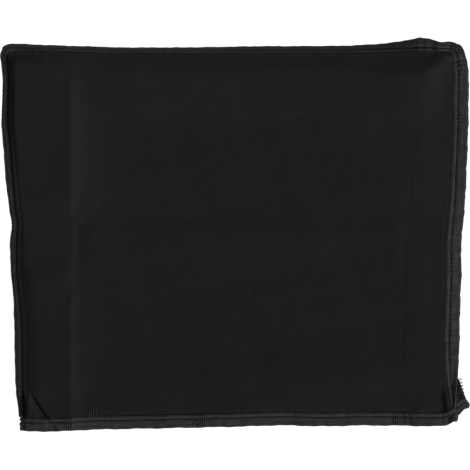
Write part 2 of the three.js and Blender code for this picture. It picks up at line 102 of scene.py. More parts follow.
# Height of the front at its seams, and how far in that is felt.
LEFT_HEIGHT = [  # y, height, reach
    (-196, 14.3, 20), (-184, 13.8, 20), (-177, 12.7, 20), (-60, 12.7, 17), (-25, 13.1, 13),
    (10, 13.8, 10), (50, 15.3, 10.5), (180, 15.1, 10),
]
TOP_HEIGHT = [  # x, height, reach
    (-228, 14.6, 13), (-165, 14.0, 17), (-120, 12.5, 21), (60, 11.5, 21), (110, 11.3, 21), (140, 11, 24),
    (172, 10.6, 26), (192, 9.8, 22), (215, 9.3, 16),
]
RIGHT_HEIGHT = [  # y, height, reach
    (-180, 9.2, 22), (-122, 9, 28), (-105, 8.9, 33), (100, 8.6, 34), (150, 8.8, 32), (175, 9, 22),
]
# How far the tucked strip lifts the front at its seams.
LEFT_CROWN = (5.4, 9.6)  # below and above
LEFT_CROWN_CHANGE = (15, 130)  # y where it starts and ends to grow
TOP_CROWN = 6.0
RIGHT_CROWN = 1.0
# Past the strip's inner fold the front steps down.
LEFT_CREASE = -164.0  # x where that begins on the left
LEFT_STEP = [  # y, width, height
    (-165, 22, 0.85), (-60, 24, 1.05), (-26, 9, 0.45), (12, 9, 0.5), (40, 36, 2.8), (68, 46, 3.8),
    (95, 42, 3.6), (158, 26, 2.1),
]
LEFT_EDGE = (17, 0.38)  # width of the sharp edge at its top, and its height as a share of the step
LEFT_FALL = (90, 2.6)  # width and height of the slow fall beyond it
TOP_STEP = (30, 1.2)  # width, height
RIGHT_STEP = (6, 0.12)  # width, height
# At its edges the front goes down to the stitching in a ditch and puckers where the stitching gathers it.
EDGES = [  # the ditch's depth, middle inside the edge and half width, the puckers' height and reach
    (0.7, 0.9, 0.8, 0.09, 6),  # left seam
    (0.12, 0.9, 0.9, 0.11, 7),  # top seam
    (0.45, 0.3, 1.0, 0.063, 6),  # right seam
    (0.4, 0.9, 0.8, 0.07, 6),  # hem
]
LEFT_DITCH = (0.6, 1.0, 0.8)  # deeper on the upper left
LEFT_DITCH_GROWS = (-20, 60)  # y between which it deepens
# The raw edges inside the left seam show through as a line.
RAW_EDGE = (5.8, 0.9)  # how far inside the seam, half width
RAW_EDGE_DEPTH = (0.2, 0.4)  # below and above
RAW_EDGE_CHANGE = (-60, 20)  # y between which it deepens
RAW_EDGE_FADE = (80, 115)  # y between which it fades

# How the front seam's tape hangs: tilt in degrees, width.
TAPE_LEFT = [  # y, tilt, width
    (-184, 86, 9), (-165, 84, 11), (-140, 79, TAPE), (-110, 76, TAPE), (-85, 78, TAPE), (-65, 85, TAPE),
    (-42, 89, TAPE), (-10, 82, TAPE), (12, 88, TAPE), (35, 84, TAPE), (55, 79, TAPE), (95, 81, TAPE),
    (125, 88, TAPE), (150, 89, TAPE), (172, 86, TAPE), (182, 66, TAPE),
]
TAPE_TOP = [  # x, tilt, width
    (-226, 57.5, TAPE), (-212, 56.5, TAPE), (-198, 60.5, TAPE), (-180, 63.5, TAPE), (-120, 63, TAPE),
    (-55, 62.5, TAPE), (-15, 60, TAPE), (25, 55.5, TAPE), (105, 55, TAPE), (140, 47.5, TAPE),
    (160, 38, 13.8), (172, 27, 14.4), (184, 14, 15), (192, 11, 13.8), (202, 9, 10.8), (208, 7, 9.6),
    (214, 5, 11.2),
]
TAPE_RIGHT = [  # y, tilt, width
    (-172, 0, 4), (-165, 0, 5.6), (-155, 0, 8.2), (-143, 0, 11.6), (-135, 0, 13.2), (-120, 3, 15.2),
    (-100, 7, 16.3), (10, 6, 16.3), (60, 0, 16.2), (160, 0, 16.2), (172, 0, 14.8), (178, 0, 12.5),
]
# Main creases of the front. Left and right are the widths of the slopes on either hand of the line, seen
# along it. Fade is how far its ends fade.
CREASES = [  # from x, y, to x, y, height, left, right, fade
    (-150, 3, 166, 4, 1.25, 9, 28, 8),  # packing crease across the middle
    (-207, -42, -168, -43, 1.1, 9, 15, 8),  # the same crease, lower on the left tuck
    (184, -15, 212, -15, -0.5, 9, 7, 8),  # a dip on the right tuck
    (-112, -141, 152, -140, 1.7, 26, 42, 45),  # slow rise towards the hem
    (182, -138, 207, -174, -0.4, 9, 11, 8),  # dip into the lower right corner
    (150, 150, 148, 25, 2.3, 40, 120, 30),  # the upper right falls away beyond this
]
# A valley beside the lower left seam and a step up beside the lower right one, which both grow on their
# way: from x, y, to x, y, depth or height, half width at the start and at the end.
VALLEY = (-213.5, -149, -210.9, -177.6, 3.0, 0.7, 1.8)
VALLEY_FULL = 0.7  # share of the way at which it is as deep as it gets
VALLEY_END = 2.5  # how far its end fades
STEP_UP = (205.4, -148, 210.6, -177, 2.3, 1.6, 3.4)
STEP_UP_FULL = 0.6
# The lower left corner is a ramp from a ridge down to a sharp crease.
FOLD_RIDGE = -206.2  # x
FOLD_SHOULDER = (7, 16)  # width of the slope up to the ridge, on the cloth and on the hem
FOLD_RISE = 1.1
FOLD_DROP = 3.0
FOLD_WALL = 1.5  # width of the steep side of the crease
FOLD_GROWS = (-167, -155)  # y where it is full, and where it begins
FOLD_CREASE = [  # y, x
    (-193.4, -179), (-190, -181), (-186, -185.4), (-181, -187.8), (-178.5, -190.2), (-167, -198),
    (-157, -205.2),
]
FOLD_HEM = -179.0  # the hem's stiff tape flattens the fold from this y down
HEM_RISE, HEM_DROP = 0.3, 0.4  # what is left of its rise and drop there
# Fine wrinkles on top of those.
WRINKLE_FADE = 4.0
WRINKLES = [  # from x, y, to x, y, height, left, right
    (-135, 42, -160, 12, 0.55, 4, 7),  # fans out from where the two packing creases cross
    (-161.5, 18, -161, -26, 0.35, 1.6, 2.2),
    (-164, 150, -163, 60, 0.25, 2.5, 3.5),
    (-163, -60, -164, -160, 0.22, 2, 3),
    (-148, -7, -96, -6, -0.4, 6, 8),
    (178.5, 172, 173.5, 26, -0.13, 2.6, 1.8),  # over the right tuck's inner fold
    (168.5, -6, 166.5, -128, -0.14, 2.6, 1.8),
    (36, 123, 100, 124, 0.22, 2.2, 2.8),
    (-38, 48, 18, 83, 0.3, 4.5, 5),
    (115, 66, 115.5, 0, 0.22, 1.8, 2.4),
    (142, 32, 142.5, -2, 0.2, 1.6, 2.2),
    (-107, -150, -106.5, -176, 0.1, 2.6, 3.4),
    (60, 8, 96, 26, 0.25, 4, 5),
    (-60, -8, -20, -34, 0.22, 5, 6),
    (20, -60, 90, -82, 0.25, 7, 8),
    (-120, -70, -60, -96, 0.25, 8, 7),
    (195, 183, 207, 178, -1.4, 1.8, 2.4),  # pinched beside the top right corner
    (201, 181.5, 218, 178, 1.7, 3.2, 3.8),
    (186, -141, 206, -170, -0.2, 3.5, 4),
]
# Back-tacks, which lock the ends of the stitching.
SEAM_TACK_AT = (122, 101)  # from y, to y
HEM_TACKS = [(-170, -163), (-41, -29), (158, 163), (169, 171.6), (175, 178.6)]  # from x, to x
LOOSE_STITCHES = [(-146, -138.5, -173, -181), (181, 189.5, -172.5, -176)]  # from x, to x, from y, to y
# The zigzag down the flap of side strip that shows beside the lower right corner.
FLAP_TOP = (223.5, -143)
FLAP_LEAN = 0.2


def smooth(x, low, high):
    u = np.clip((x - low) / (high - low), 0, 1)
    return u * u * (3 - 2 * u)


def mix(a, b, share):
    return a + (b - a) * share


def bump(x, middle, width):
    return np.exp(-(((x - middle) / width) ** 2))


def ripple(place, *waves):
    """Small unevenness along a line. waves: height, length and phase of each."""
    return sum(height * np.sin(2 * np.pi * place / length + phase) for height, length, phase in waves)


def curve_through(rows, column=1):
    """A smooth curve through a table. It never swings past the values on either hand."""
    at, value = np.array(rows, float)[:, [0, column]].T
    chord = np.diff(value) / np.diff(at)
    before, after = np.append(chord[0], chord), np.append(chord, chord[-1])
    both = before * after > 0
    slope = np.where(both, 2 * before * after / np.where(both, before + after, 1), 0)

    def curve(place):
        p = np.clip(place, at[0], at[-1])
        i = np.clip(np.searchsorted(at, p, side="right") - 1, 0, len(at) - 2)
        run = at[i + 1] - at[i]
        u = (p - at[i]) / run
        bend = slope[i] * u * (1 - u) ** 2 + slope[i + 1] * u * u * (u - 1)
        return mix(value[i], value[i + 1], u * u * (3 - 2 * u)) + run * bend

    return curve


def curves_through(rows):
    """A curve for each of a table's columns but the first."""
    return [curve_through(rows, column) for column in range(1, len(rows[0]))]


left_seam, right_seam, top_seam = map(curve_through, (LEFT_SEAM, RIGHT_SEAM, TOP_SEAM))
front_mouth, back_mouth = map(curve_through, (FRONT_MOUTH, BACK_MOUTH))
back_right_seam, right_tuck = map(curve_through, (BACK_RIGHT_SEAM, RIGHT_TUCK))
fold_crease = curve_through(FOLD_CREASE)
left_step, left_rise = curves_through(LEFT_STEP)
seam_heights = [curves_through(rows) for rows in (LEFT_HEIGHT, TOP_HEIGHT, RIGHT_HEIGHT)]
tape_tilts, tape_widths = zip(*map(curves_through, (TAPE_LEFT, TAPE_TOP, TAPE_RIGHT)))


def along(line, x, y):
    """How far a place is along a line and to the left of it, and the line's length."""
    x0, y0, x1, y1 = line
    length = math.hypot(x1 - x0, y1 - y0)
    ux, uy = (x1 - x0) / length, (y1 - y0) / length
    return (x - x0) * ux + (y - y0) * uy, ux * (y - y0) - uy * (x - x0), length


def crease_rise(row, x, y, fade):
    *line, height, left, right = row
    run, across, length = along(line, x, y)
    width = np.where(across > 0, left, right)
    ends = smooth(run, -fade, fade) * (1 - smooth(run, length - fade, length + fade))
    return height * np.exp(-((across / width) ** 2)) * ends


def valley_drop(x, y):
    *line, depth, start, end = VALLEY
    run, across, length = along(line, x, y)
    share = np.clip(run / length, 0, 1)
    grown = smooth(share, 0, VALLEY_FULL) * (1 - smooth(run, length, length + VALLEY_END))
    return depth * grown * np.exp(-((across / mix(start, end, share)) ** 2))


def step_up(x, y):
    x0, y0, x1, y1, height, start, end = STEP_UP
    share = np.clip((y0 - y) / (y0 - y1), 0, 1)
    half = mix(start, end, share)
    in_hem = smooth(y1 - y, 0, 5)
    grown = height * smooth(share, 0, STEP_UP_FULL)
    return grown * smooth(x - mix(x0, x1, share), -half, half) * (1 - in_hem)


def corner_fold(x, y):
    """The ramp of the lower left corner, with the steep side of its crease."""
    crease = fold_crease(y)
    grown = 1 - smooth(y, *FOLD_GROWS)
    in_hem = smooth(FOLD_HEM - y, 0, 6)
    rise, drop = FOLD_RISE * mix(1, HEM_RISE, in_hem), FOLD_DROP * mix(1, HEM_DROP, in_hem)
    share = np.clip((x - FOLD_RIDGE) / (crease - FOLD_RIDGE), 0, 1)
    before = rise * smooth(x, FOLD_RIDGE - mix(*FOLD_SHOULDER, in_hem), FOLD_RIDGE)
    past = -drop * (1 - smooth(x - crease, 0, FOLD_WALL))
    ramp = np.where(x < crease, mix(rise, -drop, share), past)
    return grown * np.where(x < FOLD_RIDGE, before, ramp)


def tuck_rise(crown, from_seam, past_fold, *steps):
    """The tucked strip lifts the front by crown at its seam. Past its fold the front steps down.

    steps: width and height of each slope that the way down is made of."""
    rise = sum(height for width, height in steps)
    down = sum(height * (1 - np.clip(past_fold / width, 0, 1)) ** 2 for width, height in steps)
    return down + (crown - rise) * (1 - np.clip(from_seam / TUCK_DEPTH, 0, 1))


def slack(x, y):
    """Slow, low waves of the limp cloth."""
    steep = ripple(x + 0.35 * y, (0.16, 71, 0.6), (0.10, 43, 2.1))
    level = ripple(y - 0.25 * x, (0.15, 83, 1.7), (0.09, 37, 0.2))
    short = ripple(x - 0.8 * y, (0.06, 23, 1.1)) * ripple(y + 0.3 * x, (1, 61, 0.4))
    return steep + level + short


def ditch(inside, depth, middle, width):
    """The groove beside a line of stitching, at a distance inside it."""
    return depth * bump(inside, middle, width) * smooth(inside, -0.4, middle)


def details(x, y, left, top, right, hem):
    """Wrinkles, corner folds, grooves and puckers, on top of the front's main slopes and creases."""
    fine = sum(crease_rise(row, x, y, WRINKLE_FADE) for row in WRINKLES)
    fine = fine + corner_fold(x, y) + step_up(x, y) - valley_drop(x, y)
    raw_edge = mix(*RAW_EDGE_DEPTH, smooth(y, *RAW_EDGE_CHANGE)) * bump(left, *RAW_EDGE)
    fine = fine - raw_edge * (1 - smooth(y, *RAW_EDGE_FADE))
    fine = fine - ditch(left, *LEFT_DITCH) * smooth(y, *LEFT_DITCH_GROWS)
    beside = ripple(y, (1, 9.3, 0.3), (0.8, 14.1, 1.9), (0.5, 6.1, 0.9)) * (1 + ripple(y, (0.6, 57, 1)))
    level = ripple(x, (1, 8.7, 0.9), (0.8, 13.3, 2.6), (0.5, 5.9, 0.1)) * (1 + ripple(x, (0.6, 64, 2)))
    on_panel = smooth(hem, -4, 0)
    for inside, waves, row in zip((left, top, right, hem), (beside, level, beside, level), EDGES):
        *groove, height, reach = row
        fine = fine - ditch(inside, *groove) * on_panel + height * waves * np.exp(-np.abs(inside) / reach)
    return fine


def front_top(x, y):
    """Height of the front panel's upper face."""
    x, y = np.asarray(x, float), np.asarray(y, float)
    left, top, right = x - left_seam(y), top_seam(x) - y, right_seam(y) - x
    hem = y - front_mouth(x) - TAPE
    height = left_rise(y)
    left_steps = [(left_step(y), height), (LEFT_EDGE[0], LEFT_EDGE[1] * height), LEFT_FALL]
    rises = [
        tuck_rise(mix(*LEFT_CROWN, smooth(y, *LEFT_CROWN_CHANGE)), left, x - LEFT_CREASE, *left_steps),
        tuck_rise(TOP_CROWN, top, TUCK_TOP - y, TOP_STEP),
        tuck_rise(RIGHT_CROWN, right, right_tuck(y) - x, RIGHT_STEP),
    ]
    rise = sum(r**4 for r in rises) ** 0.25
    creases = sum(crease_rise(row, x, y, fade) for *row, fade in CREASES)
    # Near a seam the front goes over to the seam's own height.
    free, held, at_seams = 1.0, 1e-9, 0.0
    for inside, (level, reach), at in zip((left, top, right), seam_heights, (y, x, y)):
        share = 1 - smooth(inside, 0, reach(at))
        free = free * (1 - share)
        held = held + share
        at_seams = at_seams + share * level(at)
    main = mix(at_seams / held, MIDDLE + rise + creases + slack(x, y), free)
    return main + details(x, y, left, top, right, hem)


MOUTH_REACH = 12.0  # how far from the mouth a line's outward direction turns level


def unit(vectors):
    return vectors / np.linalg.norm(vectors, axis=-1, keepdims=True)


def running_length(points):
    return np.append(0, np.cumsum(np.linalg.norm(np.diff(points, axis=0), axis=1)))


def points_at(place, lengths, points):
    """Points at places on a line that is given by points and their running lengths."""
    return np.stack([np.interp(place, lengths, c) for c in points.T], -1)


class Line:
    """A line in plan, up the left side, over the top and down the right side.

    Its five zones, from knot to knot, are side, corner, top, corner and side."""

    def __init__(self, points, knots=None):
        self.points = np.array(points, float)
        self.length = running_length(self.points)
        self.end = self.length[-1]
        x, y = self.points.T
        if knots is None:
            is_top, last = y > TUCK_TOP - TUCK_CORNER, len(x) - 1
            past_left = is_top & (x > TUCK_LEFT + TUCK_CORNER)
            past_right = is_top & (x > right_tuck(TUCK_TOP) - TUCK_CORNER)
            starts = [np.argmax(part) for part in (is_top, past_left, past_right)]
            knots = [0, *starts, last - np.argmax(is_top[::-1]), last]
        self.knots = self.length[knots]
        self.corners = self.length[np.argmax(y - x)], self.length[np.argmax(y + x)]

    def at(self, length):
        return points_at(length, self.length, self.points)

    def out(self, length, reach=2.0):
        """Direction straight out of the cover in plan. At the mouth it is level."""
        d = self.at(np.minimum(length + reach, self.end)) - self.at(np.maximum(length - reach, 0))
        out = np.stack([-d[..., 1], d[..., 0]], -1)
        near_mouth = 1 - smooth(np.minimum(length, self.end - length), 0, MOUTH_REACH)
        out[..., 1] *= 1 - near_mouth
        return unit(out)

    def reach(self, station):
        """The length at a station. Stations go from 0 to 5, a unit for each zone."""
        return np.interp(station, range(6), self.knots)

    def station(self, length):
        return np.interp(length, self.knots, range(6))


ARC_POINTS = 24
SEAM_POINTS = 400  # on each side and along the top


def arc(x, y, radius, start):
    """A quarter turn to the right, from a direction in degrees."""
    turned = np.radians(start - np.linspace(0, 90, ARC_POINTS))
    return np.stack([x + radius * np.cos(turned), y + radius * np.sin(turned)], -1)


def seam_line(left, top, right, mouth, corner):
    """A seam with rounded top corners, from its left end over the hem to its right end."""
    lx, rx = left(CORNER_Y) + corner, right(CORNER_Y) - corner
    ly, ry = top(lx) - corner, top(rx) - corner
    low_left, low_right = (mouth(side(MOUTH_Y)) + TAPE + GAP for side in (left, right))
    up = np.linspace(low_left, ly, SEAM_POINTS)[:-1]
    over = np.linspace(lx, rx, SEAM_POINTS)[1:-1]
    down = np.linspace(ry, low_right, SEAM_POINTS)[1:]
    return Line(np.concatenate([
        np.stack([left(up), up], -1),
        arc(lx, ly, corner, 180),
        np.stack([over, top(over)], -1),
        arc(rx, ry, corner, 90),
        np.stack([right(down), down], -1),
    ]))


def back_left_seam(y):
    return left_seam(y) + BACK_INSET[0]


def back_top_seam(x):
    return top_seam(x) - BACK_INSET[1]


front_line = seam_line(left_seam, top_seam, right_seam, front_mouth, SEAM_CORNER)
back_line = seam_line(back_left_seam, back_top_seam, back_right_seam, back_mouth, BACK_CORNER)


def tuck_line():
    """The inner fold of the tucked strip."""
    low, high = TUCK_TOP - TUCK_CORNER, right_tuck(TUCK_TOP)
    first, last = back_line.points[0][1], back_line.points[-1][1]
    down = np.linspace(low, last, 60)[1:]
    points = np.concatenate([
        [(TUCK_LEFT, first)],
        arc(TUCK_LEFT + TUCK_CORNER, low, TUCK_CORNER, 180),
        arc(high - TUCK_CORNER, low, TUCK_CORNER, 90),
        np.stack([right_tuck(down), down], -1),
    ])
    return Line(points, [0, 1, ARC_POINTS, ARC_POINTS + 1, 2 * ARC_POINTS, len(points) - 1])


fold_line = tuck_line()


def patch(line, mouth, lap):
    """Stretches a sheet between a seam line and the mouth: place(s, t) for s to the right and t up."""
    first, last = line.corners

    def edge(length):
        return line.at(length) + lap * line.out(length)

    a, b, c, d = edge(0.0), edge(line.end), edge(first), edge(last)
    a[1] -= lap
    b[1] -= lap

    def place(s, t):
        low = mix(a, b, s[:, None])
        low[:, 1] += mouth(low[:, 0]) - mix(mouth(a[0]), mouth(b[0]), s)
        up_left, up_right = edge(t * first), edge(mix(line.end, last, t))
        for side in (up_left, up_right):
            side[:, 1] -= lap * (1 - smooth(t, 0, 0.02))
        top = edge(mix(first, last, s))
        s, t = s[:, None], t[:, None]
        return mix(low, top, t) + mix(up_left, up_right, s) - mix(mix(a, b, s), mix(c, d, s), t)

    return place


def add_object(name, data):
    made = bpy.data.objects.new(name, data)
    bpy.context.scene.collection.objects.link(made)
    return made


def piece(name, counts, place, closed=False, thick=0.0, breaks=()):
    """A piece shaped from a grid. place(i, j) gives its points and its cloth coordinates in millimetres.

    A closed one is a tube along i. It is cut apart after each step named in breaks."""
    bm = bmesh.new()
    bmesh.ops.create_grid(bm, x_segments=counts[0], y_segments=counts[1], size=0.5)
    i, j = np.round((np.array([vert.co[:2] for vert in bm.verts]) + 0.5) * counts).astype(int).T
    cut = set(breaks)
    if cut:
        step = {vert: int(k) for vert, k in zip(bm.verts, i)}
        lost = [f for f in bm.faces if min(step[v] for v in f.verts) in cut]
        bmesh.ops.delete(bm, geom=lost, context="FACES")
    points, cloth = place(i, j)
    uv = bm.loops.layers.uv.new("cloth")
    for vert, point, spot in zip(bm.verts, (points + SHIFT) * MM, cloth * MM):
        vert.co = point
        for loop in vert.link_loops:
            loop[uv].uv = spot
    if closed:
        bmesh.ops.remove_doubles(bm, verts=bm.verts, dist=1e-6)
        bmesh.ops.holes_fill(bm, edges=[e for e in bm.edges if e.is_boundary], sides=0)
        bmesh.ops.recalc_face_normals(bm, faces=bm.faces)
    for face in bm.faces:
        face.smooth = True
    mesh = bpy.data.meshes.new(name)
    bm.to_mesh(mesh)
    bm.free()
    made = add_object(name, mesh)
    if thick:
        solid = made.modifiers.new("thickness", "SOLIDIFY")
        solid.thickness = thick * MM
        solid.offset = -1
    return made


# Steps of the front panel's grid, from its left side and from its mouth.
GRID_ACROSS = [  # distance, size of the step
    (0, 0.6), (9, 0.8), (14, 1.1), (44, 1.4), (60, 2.2), (95, 2.7), (350, 2.6), (402, 1.2), (440, 0.8),
    (446, 0.8),
]
GRID_UP = [(0, 1.0), (34, 1.3), (44, 2.5), (330, 2.5), (346, 1.3), (361, 0.9)]  # the same columns
BACK_GRID = (110, 90)  # steps


def graded(rows):
    """Places from 0 to 1 whose steps follow a table."""
    at, step = np.array(rows, float).T
    fine = np.linspace(0, at[-1], 4000)  # close enough to add the steps up along it
    count = np.append(0, np.cumsum(np.diff(fine) / np.interp(fine[1:], at, step)))
    steps = round(count[-1])
    return np.interp(np.arange(steps + 1) / steps * count[-1], count, fine) / at[-1]


def above_hem(mouth):
    """The line at which a panel ends over its hem."""
    return lambda x: mouth(x) + TAPE + GAP


def make_panel(name, line, mouth, across, up, top, turned=1):
    """A panel between its seam and its hem, with grid lines at shares of its width and height.

    turned: -1 for cloth that is seen from behind."""
    place_xy = patch(line, above_hem(mouth), LAP)

    def place(i, j):
        xy = place_xy(across[i], up[j])
        return np.column_stack([xy, top(*xy.T)]), xy * (turned, 1)

    return piece(name, (len(across) - 1, len(up) - 1), place, thick=CLOTH)


def back_top(x, y):
    return np.full(len(x), CLOTH)


FOLD_RADII = (3.1, 3.1, 2.8, 2.8, 2.4, 2.4)  # of the strip's inner fold, at the six knots
# Across the strip, v goes from 0 at the front seam to 1 at the back seam: an upper leaf, the fold's turn
# and a lower leaf.
LEAF, TURN = 0.45, 0.1
LOWER_FROM = 0.55
FLAP_MIDDLE = 217.5  # x where the lower leaf sags most
FLAP_EDGE = (222, 226)  # x between which the sag ends, before the back seam


def tuck_section(station, v, ply, slack_in, slimmer, back_leaf, overhang=0.0):
    """Middle of the tucked strip, from under the front seam round its inner fold to the back seam.

    ply: how far it lies under the front's middle. slack_in: how far it sinks from there past its seam.
    slimmer: taken off the fold's radius. back_leaf: height at the back seam. overhang: how far towards
    the mouth the front's height counts too."""
    front, back = front_line.at(front_line.reach(station)), back_line.at(back_line.reach(station))
    fold = fold_line.at(fold_line.reach(station))
    radius = np.interp(station, range(6), FOLD_RADII) - slimmer
    inward = fold - front
    reach = np.linalg.norm(inward, axis=-1)
    inward /= reach[:, None]
    flat = reach - radius
    upper, turn = np.clip(v / LEAF, 0, 1), np.clip((v - LEAF) / TURN, 0, 1)
    lower = np.clip((v - LOWER_FROM) / LEAF, 0, 1)
    angle = np.pi / 2 - np.pi * turn
    along_leaf = upper * flat + np.where(turn > 0, radius * np.cos(angle), 0)
    xy = front + inward * along_leaf[:, None]
    under = front + inward * flat[:, None]
    xy = np.where((lower > 0)[:, None], mix(under, back, lower[:, None]), xy)
    ceiling = np.minimum(front_top(*xy.T), front_top(xy[:, 0], xy[:, 1] - overhang)) - CLOTH / 2 - ply
    ceiling -= slack_in * smooth(along_leaf, 0, 10)
    seam = front_top(*front.T) - CLOTH / 2 - ply
    z = np.minimum(mix(seam, LOWER_LEAF + 2 * radius, smooth(upper, 0, 1)), ceiling)
    z = np.where(turn > 0, LOWER_LEAF + radius + radius * np.sin(angle), z)
    z = np.where(lower > 0, mix(LOWER_LEAF, back_leaf, smooth(lower, 0.88, 1)), z)
    # The lower leaf's end at the mouth sags beside the lower right corner.
    sag = FLAP_SAG * bump(xy[:, 0], FLAP_MIDDLE, 5.2) * (1 - smooth(xy[:, 0], *FLAP_EDGE))
    sag = sag * smooth(station, 4.94, 5)
    xy[:, 1] -= np.where(lower > 0, sag, 0)
    return np.column_stack([xy, z])


def make_strip():
    """The side strip, with its two edges run in under the tapes of the front and back seams."""
    stations, tucked, edge_steps = 380, 40, 3
    across = tucked + 2 * edge_steps
    back_leaf = SEAM_TAPE - CLOTH / 2

    def place(i, j):
        length = i / stations * front_line.end
        station = front_line.station(length)
        v = np.clip((j - edge_steps) / tucked, 0, 1)
        mid = tuck_section(station, v, ply=CLOTH + 0.3, slack_in=1.0, slimmer=0.0, back_leaf=back_leaf)
        run_in = ALLOWANCE * np.maximum(edge_steps - j, 0) / edge_steps
        at_front = front_tape_place(length, run_in, np.full(len(length), -0.65))
        mid = np.where((j < edge_steps)[:, None], at_front, mid)
        back_length = back_line.reach(station)
        furthest = np.minimum(ALLOWANCE, back_tape_width(back_length) - 1.5)
        run_in = furthest * np.maximum(j - tucked - edge_steps, 0) / edge_steps
        at_back = back_line.at(back_length) + back_line.out(back_length) * run_in[:, None]
        at_back = np.column_stack([at_back, np.full(len(length), back_leaf)])
        mid = np.where((j > tucked + edge_steps)[:, None], at_back, mid)
        return mid, np.column_stack([length, j / across * STRIP_WIDTH])

    strip = piece("side_strip_cloth", (stations, across), place, thick=CLOTH)
    strip.modifiers["thickness"].offset = 0
    return strip


# Places across a tape on its upper side, and then back on its lower side.
RIM = [0, 0.12, 0.45, 0.9]
INNER = [
    1.5, 2.2, 2.9, 3.5, 3.85, 4.15, 4.4, 4.65, 4.95, 5.3, 5.9, 6.6, 7.4, 8.2, 9, 9.8, 10.6, 11.4, 12.1,
]
UPPER = np.concatenate([RIM, INNER, TAPE - np.array(RIM[::-1])])
LOWER = np.concatenate([[TAPE - 0.3, TAPE - 0.9], np.linspace(TAPE - 3, 3, 5), [0.9, 0.3, 0]])
ACROSS = np.concatenate([UPPER, LOWER])
IS_UPPER = np.arange(len(ACROSS)) < len(UPPER)
STITCH_LINE = 4.4  # its place across the tape
PITCH = 4.0  # of the stitches
# Beads along a tape's face: at its inner edge, behind the stitching and near its outer edge.
BEADS = [(0.16, 2.1, 1.6), (0.2, 7.2, 2.2), (0.12, 11.6, 1.2)]  # height, place across, half width
GROOVE = 0.9  # depth of the groove that the stitching pulls in
RIB_PITCH = 2.3


def tape_round(w, thick):
    edge = np.clip(np.minimum(w, TAPE - w) / (thick / 2), 0, 1)
    return thick / 2 * np.sqrt(1 - (1 - edge) ** 2)


def tape_face(w, length, thick):
    """Height of a tape's upper face over its middle: rounded edges, beads, ribs and a groove.

    The seams' tape is more rumpled than the hem's."""
    inner = np.clip(np.minimum(w, TAPE - w) / (thick / 2), 0, 1)
    rumple = 1 if thick == SEAM_TAPE else 0.3
    uneven = 1 + rumple * ripple(length, (0.35, 3.7, 0.2), (0.3, 5.9, 1.3), (0.25, 9.1, 2.0))
    hole = np.cos(2 * np.pi * length / PITCH)
    edge_bead, middle_bead, outer_bead = (height * bump(w, at, width) for height, at, width in BEADS)
    bead = edge_bead * uneven + middle_bead + outer_bead
    groove = GROOVE * bump(w, STITCH_LINE, mix(0.5, 0.7, rumple)) * (1 + 0.25 * rumple * hole)
    puff = -0.13 * rumple * hole * (bump(w, 2.4, 1.6) + bump(w, 6.8, 1.8))
    ribs = 0.1 * np.cos(2 * np.pi * w / RIB_PITCH + ripple(length, (0.9, 41, 0.3), (0.5, 23, 1.4)))
    limp = ripple(length, (0.12, 17, 0.4), (0.08, 11.3, 1.2)) * smooth(w, 5, 12)
    return tape_round(w, thick) + inner * (bead - groove + puff + ribs + limp)


TAPE_FLAT = 0.8  # from its stitched edge the tape runs level so far, and then bends down
SIDE_BEND, TOP_BEND = 3.2, 2.0  # length of the bend
SIDE_RISE, TOP_RISE = 0.15, -0.6  # height of its face at its edge, over the cloth's
EDGE_SET = 0.3  # how far a seam's tape is drawn in over the gap beside it
# Beside the lower right corner the tape is folded in half along its middle, as a V with its rims up.
V_GROWS = (-138, -112)  # y where it is full, and where it begins
V_DEPTH = 0.34  # as a share of how far it could fold
V_HALF = 7.5  # width of half the tape
V_THINNER = 0.45  # share of its thickness that is pressed out
TOP_GROOVE = 0.45  # how much deeper the stitching lies along the top
LEAST_TILT = 0.5  # degrees, so that a level tape has a bend too
OUT_REACH = 2.5  # half the length over which the outward direction is taken


def at_side(length, curves, at):
    """The value of the left, top or right curve, whichever a place on the front seam is on."""
    side = np.searchsorted(front_line.corners, length)
    left, top, right = curves
    return np.select([side == 0, side == 1], [left(at[:, 1]), top(at[:, 0])], right(at[:, 1]))


def front_tape_place(length, w, h):
    """A point of the front seam's tape, at width w on its middle and height h over it."""
    at, out = front_line.at(length), front_line.out(length, OUT_REACH)
    first, last = front_line.corners
    tilt = np.radians(np.maximum(at_side(length, tape_tilts, at), LEAST_TILT))
    width = at_side(length, tape_widths, at)
    width = width + ripple(length, (0.22, 31, 0.2), (0.16, 12.7, 1.5), (0.1, 7.9, 0.4))
    share, w = w / TAPE, w * width / TAPE
    folded = np.where(length > last, 1 - smooth(at[:, 1], *V_GROWS), 0)
    depth = V_DEPTH * folded * np.sqrt(np.maximum(V_HALF**2 - (width / 2) ** 2, 0))
    lean = np.arctan2(depth, width / 2) * np.clip((0.5 - share) / 0.1, -1, 1)
    h = h * (1 - V_THINNER * folded)
    on_top = smooth(length, first, first + 10)
    on_top = on_top * (1 - smooth(length, last - 30, last - 15))
    # Out along the level part, round the bend and straight on.
    bend = mix(SIDE_BEND, TOP_BEND, on_top)
    turned = np.clip((w - TAPE_FLAT) / bend, 0, 1) * tilt
    run = np.minimum(w, TAPE_FLAT) + bend / tilt * np.sin(turned)
    drop = bend / tilt * (1 - np.cos(turned))
    past = np.maximum(w - TAPE_FLAT - bend, 0)
    run = run + past * np.cos(tilt)
    drop = drop + past * np.sin(tilt) + depth * (1 - np.abs(2 * share - 1))
    run = run + GAP - EDGE_SET + h * np.sin(turned + lean)
    h = h - TOP_GROOVE * on_top * bump(share * TAPE, STITCH_LINE, 1.0)
    z = front_top(*at.T) - SEAM_TAPE / 2 + mix(SIDE_RISE, TOP_RISE, on_top) - drop
    z = z + h * np.cos(turned + lean)
    # Gathered at the top right corner.
    gather = bump(length, last + 6, 9) * smooth(share, 0, 0.2)
    z = z + gather * ripple(length + 2 * share, (0.26, 5.3, 0.4), (0.16, 3.7, 1.1))
    return np.column_stack([at + out * run[:, None], np.maximum(z, 0.3)])


BACK_TAPE_END = 3.6  # width of the back seam's tape at the mouth


